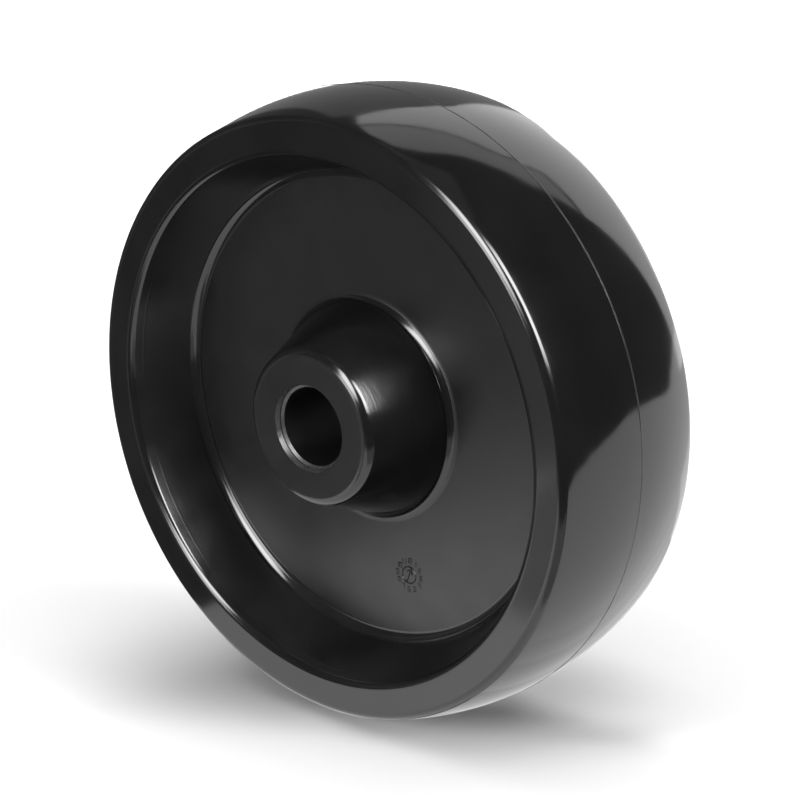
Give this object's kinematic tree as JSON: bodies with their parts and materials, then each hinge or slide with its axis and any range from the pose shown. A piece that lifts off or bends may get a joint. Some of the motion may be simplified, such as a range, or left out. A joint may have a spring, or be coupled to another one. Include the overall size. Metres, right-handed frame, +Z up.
{
  "type": "heat-resistant wheel",
  "caption": "Solid one-piece black phenolic castor wheel with a crowned tread, deep side recesses, a flat web and a tapered hub with a plain axle bore.",
  "frame": {"origin": "the wheel's centre, on the axle line at the middle of its width", "axes": "+Y along the axle line that the wheel spins about, +Z up"},
  "size_m": [0.1602, 0.058, 0.1602],
  "materials": {
    "phenolic": "black phenolic moulding, polished on the tread, rim and hub, satin on the web, and trimmed to a fine satin on the hub's end faces"
  },
  "bodies": {
    "root": {"wheel": "phenolic"}
  },
  "joints": []
}
